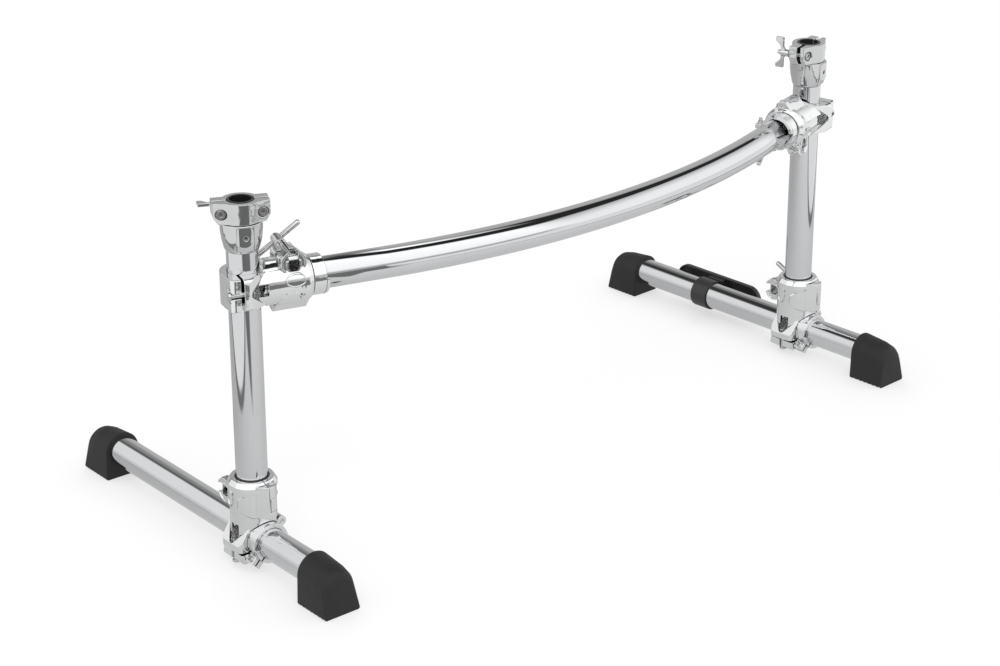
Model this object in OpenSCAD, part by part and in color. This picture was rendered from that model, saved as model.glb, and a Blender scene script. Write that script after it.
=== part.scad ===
// Free-standing drum rack frame: one bowed cross tube between two uprights,
// each upright standing on a base tube with rubber feet, all joined by hinged tube clamps.
// X runs from the left upright to the right one, Y from front to back, Z up from the floor.

/* [Frame] */
// Distance between the axes of the two uprights
upright_spacing = 966; // [900:1:1200]
// Free height between the bar clamps and the receivers above them
receiver_gap = 4.4; // [2:0.1:20]
// Angle between each end of the cross tube and the straight line between the uprights
bar_angle = 17; // [14:0.5:20]
// Straight length at each end of the cross tube, measured from the upright's axis
bar_straight = 173; // [120:1:220]
// Height of the top face of the tube receivers
rack_height = 460; // [440:1:480]
// Inward lean of each base tube's rear end
base_toe = 1.7; // [0:0.1:3]
// Reach of the base in front of the uprights
front_reach = 175.6; // [160:0.1:260]
// Reach of the base behind the uprights
rear_reach = 352.6; // [330:0.1:450]

/* [Tubes] */
// Outer diameter of every frame tube
tube_od = 38.1; // [37.6:0.05:38.4]
// Wall of every frame tube
tube_wall = 2; // [1.5:0.1:2.4]
// Radial clearance between a tube and the bore that it slides in
tube_fit = 0.05; // [0.02:0.01:0.1]

/* [Hinged clamp] */
// Distance from the through tube's axis to the socket's mouth
socket_reach = 77; // [74:0.5:82]
// Outer radius of the socket
socket_r = 28; // [27.4:0.1:28.3]
// Outer radius of the jaws
jaw_r = 27.5; // [26.5:0.1:28]
// Height of the jaws along the through tube
jaw_h = 40; // [38:0.5:44]
// Wall of the nylon liner in the socket
liner_wall = 1.4; // [1:0.1:2]
// Radius of the gate's hinge knuckles
knuckle_r = 5.5; // [5.2:0.1:5.8]
// Radius of the clamp's pins
pin_r = 2.5; // [2:0.1:2.8]
// Radius of the swing bolt's shank
swing_rod_r = 3.25; // [3:0.05:3.4]
// Length of the cross bar of the T-handles
t_bar_len = 69; // [50:1:70]
// Radius of the jaw bolt
jaw_bolt_r = 2.9; // [2.5:0.1:3.1]

/* [Memory lock] */
// Outer radius of the lock rings
lock_r = 24.4; // [23.6:0.1:25.4]
// Width of the lock rings along the tube
lock_w = 15; // [12:0.5:17]

/* [Receiver] */
// Diameter of the arm tube that the receiver takes
arm_tube_d = 25.4; // [22:0.1:26]
// Height of the receiver's clamping block
block_h = 26.5; // [24:0.5:30]
// Half length of the clamping block
block_half = 33; // [32:0.5:36]
// Half spacing of the two clamping bolts
bolt_half = 24; // [23.5:0.1:25]
// Height of the flared neck below the block
neck_h = 33.5; // [30:0.5:38]
// Turn of the left receiver away from the line of the uprights
receiver_turn = 27; // [0:1:40]
// Radius of the receiver's bolts
clamp_bolt_r = 3; // [2.5:0.1:3.2]

/* [Rubber feet] */
// Length of a foot along the tube
foot_len = 54.8; // [50:0.1:60]
// Width of a foot at the floor
foot_w = 49.8; // [48.6:0.1:56]
// Rubber above the tube at the foot's inner end
foot_wall = 5; // [3:0.1:7]
// Height of the base tube's axis above the floor
base_height = 36.4; // [36:0.1:40]
// Depth of the blind hole that takes the tube
foot_bore = 30; // [22:0.5:33]

/* [Clip] */
// Length of the dished plate
clip_len = 162; // [120:1:170]
// Height of the dished plate
clip_h = 42; // [36:0.5:46]
// Distance of the plate's middle behind the upright
clip_back = 172; // [150:1:180]
// Width of the band round the tube
clip_band_w = 28; // [20:0.5:34]
// Wall of the clip
clip_wall = 2.5; // [2:0.1:3]

/* [Hidden] */
$fn = 64;

// Shared clearances
eps = 0.5;            // how far a cutter runs past what it cuts
part_gap = 0.3;       // gap on each side of a parting line
pin_fit = 0.05;       // radial clearance of pins, bolts and threads
seat_gap = 0.3;       // gap between pieces that rest on each other in use
nut_gap = 0.4;        // slack that lets the swing bolt lift off its lug

// Places of the main pieces
half_span = upright_spacing / 2;
upright_y = (front_reach - rear_reach) / 2;       // the frame is centred on its feet
tube_r = tube_od / 2;
bore_r = tube_r + tube_fit;
bar_radius = (half_span - bar_straight * cos(bar_angle)) / sin(bar_angle);
bar_arc_y = -bar_straight * sin(bar_angle) + bar_radius * cos(bar_angle);
weld_gap = 0.2;                                   // the bend and its straight ends meet inside a weld
weld_rise = 0.03;
weld_turn = weld_gap / bar_radius * 180 / PI;

// Clamp, in its own frame: X along the socket, Z along the through tube
liner_r = bore_r + liner_wall;
socket_bore = liner_r + pin_fit;
gate_start = jaw_r + 3;                           // where the gate begins
gate_mid = (gate_start + socket_reach) / 2;       // middle of the gate
tube_seat = jaw_r + 1;                            // end of the tube in the socket
swing_x = gate_mid;
swing_y = -16;                                    // pivot of the swing bolt
swing_z = socket_r + 1;
swing_tilt = 8;                                   // rise of the closed bolt
eye_r = 6;
fork_w = 31;
fork_slot = 12;
fork_low = 10.5;
lug_front = 20;                                   // the gate's lug, measured along the bolt
lug_back = 36;
lug_over = 3;                                     // prong height beyond the bolt's axis
clamp_head = 12;                                  // room for the gate's lug above the bolt's pivot
t_bar_at = lug_back + 15;
t_turn = 36;
leg_t_turn = 60;
rim_r = socket_r + 2;
hinge_y = 4.5;
hinge_z = -(socket_r + 4.5);
hinge_face = hinge_z - 5.5;
knuckle_a = gate_start + 2.5;                     // the three knuckles' ends
knuckle_b = knuckle_a + 8;
knuckle_c = socket_reach - 19;
cut_half = 3.2 * tube_r;                          // half the span of a cut that passes every casting
lip_x = -12;                                      // parting plane of the jaws, front side
lip_gap = 1.5;
lip_y = -27;                                      // jaw bolt's axis
lip_out = -35.2;                                  // outermost face of the lips
lip_end = 17;
lip_round = 7;
jaw_pin_x = 14.5;
jaw_pin_y = 26.5;
jaw_pin_r = 6.5;
jaw_split = 5.5;
jaw_knuckle = 10;
nut_seat = -3;
nut_h = 5.5;
nut_r = 5.8;
nut_pocket = 7;
emblem_x = 54.5;

// Memory lock
lock_gap = 0.3;
lock_face = jaw_h / 2 + 0.1;                      // where the lock ring's room begins beside the jaws
base_lock_from = lock_face + lock_gap;
bar_lock_from = socket_reach + 1 + lock_gap;
base_lock_turn = 135;
bar_lock_turn = -90;
lug_len = 9;
lug_half = 7;                                     // half the lug's thickness, along its screw
lug_root = 4;                                     // how far inside the ring the lug begins
lug_step = 0.5;                                   // how far its sides stand in from the ring's
lug_slot = 2;
lug_screw_r = 2.5;
lug_screw_z = lock_r + 4;
lug_head_r = 4;
lug_head_h = 3;
lug_key_r = 2.9;                                  // square end that a drum key turns
lug_key_h = 4.5;
tab_len = 4;
tab_low = 2;
tab_side = 4;
tab_step = 0.4;

// Receiver
block_z = rack_height - block_h;
neck_z = block_z - neck_h;
arm_bore = arm_tube_d / 2 + pin_fit;
bushing_r = arm_bore + 3;
ear_depth = 13;
ear_end = 9.5;                                    // depth of the front jaw at its two ends
boss_r = bushing_r + 7;
left_gap = 1.8;                                   // front half of the parting gap
right_gap = 4;
right_turn = 14;
bar_height = neck_z - (swing_z + clamp_head) - receiver_gap;
spigot_len = 40;
spigot_r = tube_r - tube_wall - tube_fit;
bolt_z = rack_height - block_h / 2;
set_screw_z = neck_z + 20;

// Uprights stand in the leg clamps
upright_foot = base_height + tube_seat;

// Feet: distance from the inner end, height and radius of the arch, half width at the floor
arch_r = tube_r + foot_wall;
foot_sections = [
    [0, base_height, arch_r, foot_w / 2],
    [foot_len * 0.6, base_height - 2.6, arch_r - 0.6, foot_w / 2],
    [foot_len * 0.84, base_height - 4.6, arch_r - 2, foot_w / 2],
    [foot_len - 2.6, base_height - 7.5, arch_r - 4.6, foot_w / 2 - 0.2],
    [foot_len, 8, 5, foot_w / 2 - 0.2]
];
tread_pitch = 6.4;
tread_w = 1.8;
tread_d = 2.2;

clip_plate_x = tube_r + 5;
clip_dish = 4.5;

module at_left_bar() {
    translate([-half_span, upright_y, bar_height]) rotate([0, 0, -bar_angle]) children();
}

module at_right_bar() {
    translate([half_span, upright_y, bar_height]) rotate([0, 180, bar_angle]) children();
}

module at_left_base() {
    translate([-half_span, upright_y, base_height]) rotate([0, 0, -base_toe]) children();
}

module at_right_base() {
    translate([half_span, upright_y, base_height]) rotate([0, 0, base_toe]) children();
}

// The leg clamps are the same casting stood on end: its socket points up, its jaws hold the base tube
module at_left_leg() {
    at_left_base() rotate([-90, -90, 0]) children();
}

module at_right_leg() {
    at_right_base() rotate([-90, -90, 0]) children();
}

module at_left_receiver() {
    translate([-half_span, upright_y, 0]) rotate([0, 0, -receiver_turn]) children();
}

module at_right_receiver() {
    translate([half_span, upright_y, 0]) rotate([0, 0, right_turn]) children();
}

// Rectangle from corner to corner with round corners of exact arcs
module round_rect(x0, x1, y0, y1, r) {
    translate([x0 + r, y0]) square([x1 - x0 - 2 * r, y1 - y0]);
    translate([x0, y0 + r]) square([x1 - x0, y1 - y0 - 2 * r]);
    for (x = [x0 + r, x1 - r], y = [y0 + r, y1 - r]) translate([x, y]) circle(r = r);
}

// Cylinder along X between two stations
module rod_x(r, x0, x1) {
    translate([x0, 0, 0]) rotate([0, 90, 0]) cylinder(r = r, h = x1 - x0);
}

// Cylinder along Y between two stations
module rod_y(r, y0, y1) {
    translate([0, y0, 0]) rotate([-90, 0, 0]) cylinder(r = r, h = y1 - y0);
}

// Cross tube

module tube_ring(grow = 0) {
    difference() {
        circle(r = tube_r + grow);
        circle(r = tube_r - tube_wall - grow);
    }
}

// Straight end of the cross tube, and the narrow weld ring where it meets the bend
module bar_end(length) {
    translate([bar_radius, weld_gap, 0]) rotate([-90, 0, 0])
        linear_extrude(height = length - weld_gap) tube_ring();
    translate([bar_radius, -1, 0]) rotate([-90, 0, 0]) linear_extrude(height = 2) tube_ring(weld_rise);
}

// Drawn in the arc's own frame, from the right end of the bend to the left one
module curved_tube() {
    color("gainsboro")
        translate([0, upright_y + bar_arc_y, bar_height]) rotate([0, 0, -90 - bar_angle]) {
            rotate([0, 0, weld_turn]) rotate_extrude(angle = 2 * (bar_angle - weld_turn), $fn = 256)
                translate([bar_radius, 0]) tube_ring();
            mirror([0, 1, 0]) bar_end(bar_straight - tube_seat);
            rotate([0, 0, 2 * bar_angle]) bar_end(bar_straight - tube_seat);
        }
}

// Hinged clamp

// Hinge barrel segment between two stations along the socket
module knuckle(x0, x1, grow = 0) {
    translate([0, hinge_y, hinge_z]) rod_x(knuckle_r + grow, x0 - grow, x1 + grow);
}

// Web that carries a knuckle on the shell: side is -1 for the body and 1 for the gate
module knuckle_web(x0, x1, side) {
    translate([x0, 0, 0]) rotate([90, 0, 90]) linear_extrude(height = x1 - x0)
        if (side < 0)
            polygon([
                [-part_gap, -(socket_bore + 2)],
                [-14, -(socket_r - 4)],
                [-13, -(socket_r - 2)],
                [hinge_y - knuckle_r - 2, hinge_face + 0.8],
                [hinge_y - knuckle_r, hinge_face],
                [-part_gap, hinge_face]
            ]);
        else
            polygon([
                [part_gap, -(socket_bore + 2)],
                [13, -(socket_bore + 2)],
                [14, -(socket_r - 4)],
                [11.5, hinge_face + 4],
                [hinge_y, hinge_face],
                [part_gap, hinge_face]
            ]);
}

// Foot of an outer knuckle, under the gate's wall
module knuckle_foot(x0, x1, grow = 0) {
    translate([x0 - grow, -eps, hinge_face - grow])
        cube([x1 - x0 + 2 * grow, hinge_y + eps + grow, -socket_r - 0.4 - hinge_face + 2 * grow]);
}

// Turned outline of the socket: plain barrel, flared rim and bevelled mouth
module socket_shell(x0) {
    rotate([0, 90, 0]) rotate_extrude($fn = 128) polygon([
        [0, x0], [socket_r, x0],
        [socket_r, socket_reach - 17], [rim_r, socket_reach - 11],
        [rim_r, socket_reach - 6], [rim_r - 4, socket_reach], [0, socket_reach]
    ]);
}

// The swing bolt's own frame: pivot at the origin, closed bolt along Y
module at_swing() {
    translate([swing_x, swing_y, swing_z]) rotate([swing_tilt, 0, 0]) children();
}

module fork_outline(w, low) {
    translate([swing_x, low + w / 2]) circle(r = w / 2);
    translate([swing_x - w / 2, low + w / 2]) square([w, swing_z - low - w / 2]);
}

// Boss on top of the body that holds the swing bolt's pivot
module swing_fork() {
    difference() {
        union() {
            translate([0, -5, 0]) rotate([90, 0, 0]) linear_extrude(height = 18)
                fork_outline(fork_w, fork_low);
            translate([0, swing_y, swing_z])
                rod_x(eye_r + 0.5, swing_x - fork_w / 2 + 2, swing_x + fork_w / 2 - 2);
        }
        // groove that follows the fork's outline
        translate([0, -21.5, 0]) rotate([90, 0, 0]) linear_extrude(height = 5) difference() {
            fork_outline(fork_w - 4.5, fork_low + 2);
            fork_outline(fork_slot + 6, fork_low + 4);
        }
        rod_x(socket_bore + 1, 0, socket_reach);
    }
}

// Slot for the swing bolt's eye, through the fork and into the barrel's wall
module swing_slot() {
    difference() {
        translate([0, eps, 0]) rotate([90, 0, 0]) linear_extrude(height = 30)
            union() {
                fork_outline(fork_slot, fork_low + 6.5);
                translate([swing_x - fork_slot / 2, swing_z - 1]) square([fork_slot, 20]);
            }
        rod_x(socket_r - 4, 0, socket_reach);
    }
}

module emblem_pad() {
    translate([emblem_x, 0, 7]) rotate([90, 0, 0])
        scale([13, 8, 1]) cylinder(r = 1, h = socket_r + 0.9);
}

// Raised pad with one straight edge along the hinge
module hinge_pad() {
    intersection() {
        rod_x(socket_r + 0.9, gate_start, socket_reach - 12);
        translate([gate_mid - 5, -12.5, -socket_r - 8]) intersection() {
            cylinder(r = 16, h = socket_r);
            translate([-20, -20, 0]) cube([40, 20, socket_r]);
        }
    }
}

module jaw_bore() {
    cylinder(r = bore_r, h = jaw_h + 60, center = true);
}

module jaw_bolt_place() {
    translate([0, lip_y, 0]) children();
}

// Rounded lip block: the profile given in the XY plane, its corners rounded as seen along the bolt
module lip_block() {
    intersection() {
        translate([0, 0, -jaw_h / 2]) linear_extrude(height = jaw_h) children();
        translate([-cut_half, 0, 0]) rotate([90, 0, 90]) linear_extrude(height = 2 * cut_half)
            round_rect(lip_out, 30, -jaw_h / 2, jaw_h / 2, lip_round);
    }
}

module clamp_body() {
    difference() {
        union() {
            difference() {
                union() {
                    cylinder(r = jaw_r, h = jaw_h, center = true);
                    socket_shell(8);
                    lip_block() {
                        polygon([
                            [lip_x, lip_out], [-5, lip_out], [-2, lip_out + 0.8],
                            [lip_end + 2, -20.5], [lip_end + 2, -10], [lip_x, -10]
                        ]);
                    }
                    hinge_pad();
                    intersection() {
                        emblem_pad();
                        rod_x(socket_r + 0.8, 0, socket_reach);
                    }
                }
                translate([gate_start - part_gap, -part_gap, -rim_r - 5])
                    cube([socket_reach, rim_r + 10, 2 * rim_r + 10]);
            }
            knuckle(knuckle_a, knuckle_b);
            knuckle(knuckle_c, socket_reach - 3);
            knuckle_foot(knuckle_a, knuckle_b);
            knuckle_foot(knuckle_c, socket_reach - 3);
            knuckle_web(knuckle_a, socket_reach - 3, -1);
            swing_fork();
            for (side = [-1, 1]) translate([jaw_pin_x, jaw_pin_y, side * (jaw_h / 2 + jaw_knuckle) / 2])
                cylinder(r = jaw_pin_r, h = jaw_h / 2 - jaw_knuckle, center = true);
        }
        jaw_bore();
        rod_x(socket_bore, tube_seat - 1, socket_reach + eps);
        // room for the gate's middle knuckle
        knuckle(knuckle_b + part_gap, knuckle_c - part_gap, part_gap);
        // room for the outer jaw: in front up to the parting plane, behind up to its hinge
        translate([-cut_half, -cut_half, -jaw_h])
            cube([cut_half + lip_x + lip_gap, 2 * cut_half, 2 * jaw_h]);
        translate([-cut_half, 0, -jaw_h])
            cube([cut_half + jaw_split + part_gap, cut_half, 2 * jaw_h]);
        translate([0, jaw_r - 5, -jaw_knuckle - part_gap])
            cube([jaw_pin_x, 20, 2 * (jaw_knuckle + part_gap)]);
        translate([jaw_pin_x, jaw_pin_y, 0])
            cylinder(r = jaw_pin_r + 0.4, h = 2 * (jaw_knuckle + part_gap), center = true);
        swing_slot();
        // room for a lock ring beside the jaws
        for (side = [-1, 1]) translate([0, 0, side * (lock_face + 20)])
            cylinder(r = lock_r + 0.6, h = 40, center = true);
        // pins and bolts
        translate([0, hinge_y, hinge_z]) rod_x(pin_r + pin_fit, gate_start, socket_reach + eps);
        translate([jaw_pin_x, jaw_pin_y, 0]) cylinder(r = pin_r + pin_fit, h = jaw_h + 2, center = true);
        translate([0, swing_y, swing_z]) rod_x(pin_r + pin_fit, swing_x - fork_w, swing_x + fork_w);
        jaw_bolt_place() {
            rod_x(jaw_bolt_r + pin_fit, lip_x, lip_end);
            rod_x(nut_pocket, nut_seat, lip_end + 4);
        }
    }
}

module clamp_gate() {
    difference() {
        union() {
            difference() {
                socket_shell(gate_start);
                translate([0, part_gap - 2 * rim_r, -rim_r - 5])
                    cube([socket_reach + 5, 2 * rim_r, 2 * rim_r + 10]);
            }
            knuckle_web(knuckle_a, socket_reach - 3, 1);
            intersection() {
                at_swing() translate([-fork_w / 2, lug_front, -swing_z])
                    cube([fork_w, lug_back - lug_front, swing_z + lug_over]);
                translate([0, 40, 0]) rotate([90, 0, 0]) linear_extrude(height = 40)
                    translate([swing_x, 0]) polygon([
                        [-14, 8], [14, 8], [14, swing_z + 2], [8, swing_z + clamp_head],
                        [-8, swing_z + clamp_head], [-14, swing_z + 2]
                    ]);
            }
        }
        rod_x(socket_bore, 0, socket_reach + eps);
        // room for the body's two knuckles
        knuckle(gate_start - 1, knuckle_b, part_gap);
        knuckle(knuckle_c, socket_reach + 1, part_gap);
        knuckle_foot(gate_start - 1, knuckle_b, part_gap);
        knuckle_foot(knuckle_c, socket_reach + 1, part_gap);
        translate([0, hinge_y, hinge_z]) rod_x(pin_r + pin_fit, gate_start - 1, socket_reach + eps);
        // slot that the swing bolt drops into
        at_swing() translate([-swing_rod_r - 0.5, 0, -swing_rod_r - 0.5])
            cube([2 * swing_rod_r + 1, lug_back + eps, 20]);
    }
    difference() {
        knuckle(knuckle_b + part_gap, knuckle_c - part_gap);
        rod_x(socket_bore + 1, 0, socket_reach);
        translate([0, hinge_y, hinge_z]) rod_x(pin_r + pin_fit, gate_start, socket_reach + eps);
    }
}

module clamp_jaw() {
    difference() {
        union() {
            cylinder(r = jaw_r, h = jaw_h, center = true);
            lip_block() {
                translate([-19.7, lip_y + 0.8]) circle(r = 6);
                polygon([
                    [lip_x, lip_y - 5], [-19.5, lip_y - 5], [-24.5, lip_y - 2.3],
                    [-jaw_r, -8], [lip_x, -8]
                ]);
            }
        }
        jaw_bore();
        translate([lip_x - lip_gap, -cut_half, -jaw_h])
            cube([cut_half, cut_half, 2 * jaw_h]);
        translate([jaw_split - part_gap, -eps, -jaw_h])
            cube([cut_half, cut_half, 2 * jaw_h]);
        // open slot for the bolt
        jaw_bolt_place() {
            rod_x(jaw_bolt_r + 0.3, -jaw_r - 10, 0);
            translate([-jaw_r - 10, -20, -jaw_bolt_r - 0.3]) cube([jaw_r + 10, 20, 2 * jaw_bolt_r + 0.6]);
        }
        // flat seat for the bolt's head
        translate([-jaw_r - 10, -60, -8]) cube([10 + jaw_r - 25.5, 60 - 20, 16]);
    }
    difference() {
        union() {
            translate([jaw_pin_x, jaw_pin_y, 0]) cylinder(r = jaw_pin_r, h = 2 * jaw_knuckle, center = true);
            translate([jaw_split - 2, jaw_r - 4.5, -jaw_knuckle])
                cube([jaw_pin_x - jaw_split + 2, jaw_pin_y + jaw_pin_r - jaw_r + 4.5, 2 * jaw_knuckle]);
        }
        translate([jaw_pin_x, jaw_pin_y, 0]) cylinder(r = pin_r + pin_fit, h = jaw_h, center = true);
        jaw_bore();
    }
}

// Split nylon sleeve between the tube and the socket
module clamp_liner() {
    difference() {
        rod_x(liner_r, tube_seat, socket_reach + 1);
        rod_x(bore_r, tube_seat - eps, socket_reach + 2);
        translate([tube_seat - 1, -1, 0]) cube([socket_reach, 2, 2 * liner_r]);
    }
}

module clamp_pins() {
    translate([0, hinge_y, hinge_z]) rod_x(pin_r, knuckle_a + 0.5, socket_reach - 3.5);
    translate([jaw_pin_x, jaw_pin_y, 0]) cylinder(r = pin_r, h = jaw_h - 1, center = true);
    translate([0, swing_y, swing_z]) rod_x(pin_r, swing_x - fork_w / 2 + 2.5, swing_x + fork_w / 2 - 2.5);
}

module jaw_bolt() {
    jaw_bolt_place() {
        rod_x(jaw_bolt_r, -27, nut_seat + nut_h + 2);
        rod_x(jaw_bolt_r + 2, -28.6, -25.8);
        difference() {
            translate([nut_seat, 0, 0]) rotate([0, 90, 0]) cylinder(r = nut_r, h = nut_h, $fn = 6);
            rod_x(jaw_bolt_r + pin_fit, nut_seat - 1, nut_seat + nut_h + 1);
        }
    }
}

module swing_bolt() {
    at_swing() difference() {
        union() {
            rod_x(eye_r, -fork_slot / 2 + part_gap, fork_slot / 2 - part_gap);
            rod_y(swing_rod_r, 0, t_bar_at + 3);
        }
        rod_x(pin_r + pin_fit, -fork_slot, fork_slot);
    }
}

module t_handle(turn) {
    at_swing() rotate([0, turn, 0]) difference() {
        union() {
            rod_y(7.5, lug_back + nut_gap, lug_back + 4);
            rod_y(6.2, lug_back + 3, t_bar_at + 6);
            translate([0, t_bar_at, 0]) {
                rod_x(3.4, -t_bar_len / 2 + 3.4, t_bar_len / 2 - 3.4);
                for (side = [-1, 1]) translate([side * (t_bar_len / 2 - 3.4), 0, 0]) sphere(r = 3.4);
            }
        }
        rod_y(swing_rod_r + pin_fit, lug_back, t_bar_at + 3.5);
    }
}

// Memory lock, in the clamp's frame; the ring stands on the socket side, its lug at the given turn

module lock_ring(from, turn) {
    difference() {
        union() {
            rod_x(lock_r, from, from + lock_w);
            rotate([turn, 0, 0]) translate([from + lug_step, -lug_half, lock_r - lug_root])
                cube([lock_w - 2 * lug_step, 2 * lug_half, lug_len + lug_root]);
            // locating tab on the lower half of the ring
            difference() {
                rod_x(lock_r - tab_step, from + 1, from + lock_w + tab_len);
                translate([from, -cut_half, -tab_low]) cube([cut_half, 2 * cut_half, cut_half]);
                translate([from, tab_side, -cut_half]) cube([cut_half, cut_half, cut_half]);
            }
        }
        rod_x(bore_r, from - eps, from + lock_w + tab_len + eps);
        rotate([turn, 0, 0]) {
            translate([from - eps, -lug_slot / 2, 0])
                cube([lock_w + tab_len + 2 * eps, lug_slot, lock_r + lug_len + 1]);
            translate([from + lock_w / 2, 0, lug_screw_z])
                rod_y(lug_screw_r + pin_fit, -lug_half - 3, lug_half + 3);
        }
    }
}

module lock_screw(from, turn) {
    rotate([turn, 0, 0]) translate([from + lock_w / 2, 0, lug_screw_z]) {
        rod_y(lug_screw_r, -lug_half - 1, lug_half + 1);
        rod_y(lug_head_r, lug_half, lug_half + lug_head_h);
        translate([0, lug_half + lug_head_h, 0]) rotate([-90, 0, 0])
            cylinder(r = lug_key_r, h = lug_key_h, $fn = 4);
    }
}

// Receiver, turned about the upright's axis; the parting plane is its XZ plane

// Block with the lower corners of its ears bevelled
module block_solid(front, gap, low) {
    intersection() {
        translate([0, 0, low]) linear_extrude(height = rack_height - low) difference() {
            union() {
                polygon([
                    [-block_half, -ear_end], [-15, -boss_r * 0.72], [15, -boss_r * 0.72],
                    [block_half, -ear_end], [block_half, ear_depth], [-block_half, ear_depth]
                ]);
                circle(r = boss_r);
            }
            if (front) translate([-cut_half, -gap]) square(2 * cut_half);
            else translate([-cut_half, 0.9 - 2 * cut_half]) square(2 * cut_half);
        }
        translate([0, cut_half, 0]) rotate([90, 0, 0]) linear_extrude(height = 2 * cut_half) polygon([
            [-block_half, rack_height], [block_half, rack_height],
            [block_half, block_z + 9], [block_half - 6, block_z], [6 - block_half, block_z],
            [-block_half, block_z + 9]
        ]);
    }
}

module receiver_bolt_holes() {
    for (x = [-bolt_half, bolt_half]) translate([x, 0, bolt_z]) {
        rod_y(clamp_bolt_r + pin_fit, -2 * ear_depth, 2 * ear_depth);
        rod_y(6.5, -2 * ear_depth, -ear_depth + 3);
    }
}

module receiver_body() {
    difference() {
        union() {
            translate([0, 0, neck_z - spigot_len]) cylinder(r = spigot_r, h = spigot_len + 1);
            rotate_extrude($fn = 128) polygon([
                [0, neck_z + part_gap], [tube_r + 0.8, neck_z + part_gap], [tube_r + 2, neck_z + 3],
                [tube_r + 4.4, neck_z + 14], [tube_r + 5.6, neck_z + 24], [tube_r + 5.9, block_z + 1],
                [0, block_z + 1]
            ]);
            intersection() {
                translate([-9, -tube_r - 5.9, neck_z]) cube([20, 20, neck_h + 0.2]);
                rotate_extrude($fn = 128) polygon([
                    [0, neck_z + 3], [tube_r + 3.5, neck_z + 3], [tube_r + 6.6, neck_z + 12],
                    [tube_r + 6.6, block_z + 1], [0, block_z + 1]
                ]);
            }
            block_solid(false, 0, block_z);
        }
        translate([0, 0, neck_z - spigot_len - eps])
            cylinder(r = arm_bore + 0.4, h = spigot_len + neck_h + block_h + 1);
        translate([0, 0, block_z + 0.6]) cylinder(r = bushing_r + pin_fit, h = block_h + 1);
        receiver_bolt_holes();
        translate([1.5, 0, set_screw_z]) rod_y(2.5 + pin_fit, -tube_r - 10, -arm_bore);
    }
}

module receiver_jaw(gap) {
    difference() {
        block_solid(true, gap, block_z + part_gap + 0.9);
        translate([0, 0, block_z - 1]) cylinder(r = bushing_r + pin_fit, h = block_h + 2);
        receiver_bolt_holes();
    }
}

module receiver_bushing() {
    difference() {
        translate([0, 0, block_z + 0.6]) cylinder(r = bushing_r, h = block_h);
        translate([0, 0, block_z - 1]) cylinder(r = arm_bore, h = block_h + 4);
        translate([0, -1, block_z - 1]) cube([30, 2, block_h + 4]);
    }
}

// Two bolts from the front; the one without the wing nut has a plain hexagon nut
module receiver_bolts() {
    for (x = [-bolt_half, bolt_half]) translate([x, 0, bolt_z]) {
        rod_y(clamp_bolt_r, -ear_depth + 2.6, ear_depth + (x < 0 ? 21 : 7));
        difference() {
            rod_y(5, -ear_depth + 0.6, -ear_depth + 3);
            translate([0, -ear_depth, 0]) rotate([-90, 0, 0]) cylinder(r = 2.9, h = 2.2, $fn = 6);
        }
    }
    translate([bolt_half, ear_depth, bolt_z]) rotate([-90, 0, 0]) difference() {
        cylinder(r = 5.6, h = 5, $fn = 6);
        translate([0, 0, -1]) cylinder(r = clamp_bolt_r + pin_fit, h = 7);
    }
}

module wing_nut(turn) {
    translate([-bolt_half, ear_depth + part_gap, bolt_z]) rotate([0, turn, 0]) difference() {
        union() {
            rod_y(5.2, 0, 3);
            rod_y(4.9, 2, 16);
            for (side = [0, 1]) mirror([side, 0, 0])
                translate([0, 0, -2.2]) linear_extrude(height = 4.4) polygon([
                    [3.8, 9.8], [9, 12.4], [21.5, 12.4], [21.5, 24], [16, 24], [10, 17], [3.8, 15.5]
                ]);
        }
        rod_y(clamp_bolt_r + pin_fit, -1, 17);
    }
}

module set_screw() {
    translate([1.5, 0, set_screw_z]) difference() {
        rod_y(2.5, -tube_r - 3.4, -arm_bore - 1);
        translate([0, -tube_r - 4, 0]) rotate([-90, 0, 0]) cylinder(r = 1.4, h = 3, $fn = 6);
    }
}

// Uprights and base

module upright() {
    translate([0, upright_y, 0]) difference() {
        translate([0, 0, upright_foot]) cylinder(r = tube_r, h = neck_z - upright_foot);
        translate([0, 0, upright_foot - 1]) cylinder(r = tube_r - tube_wall, h = neck_z - upright_foot + 2);
    }
}

module base_tube() {
    difference() {
        rod_y(tube_r, -front_reach + foot_len - foot_bore + 0.2, rear_reach - foot_len + foot_bore - 0.2);
        rod_y(tube_r - tube_wall, -front_reach, rear_reach);
    }
}

// Foot seen from its inner end, running along +Y, standing on the floor
module foot() {
    difference() {
        hull() for (s = foot_sections) translate([0, min(s[0] + 0.4, foot_len), 0])
            rotate([90, 0, 0]) linear_extrude(height = 0.4) {
                translate([0, s[1]]) circle(r = s[2], $fn = 40);
                for (side = [-1, 1]) translate([side * (s[3] - 2.5), 2.5]) circle(r = 2.5, $fn = 16);
            }
        translate([0, 0, base_height]) rod_y(tube_r + 0.05, -1, foot_bore);
        for (y = [tread_pitch:tread_pitch:foot_len - 3])
            translate([-foot_w, y - tread_w / 2, -1]) cube([2 * foot_w, tread_w, tread_d + 1]);
    }
}

module front_foot() {
    translate([0, -front_reach + foot_len, -base_height]) rotate([0, 0, 180]) foot();
}

module rear_foot() {
    translate([0, rear_reach - foot_len, -base_height]) foot();
}

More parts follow.
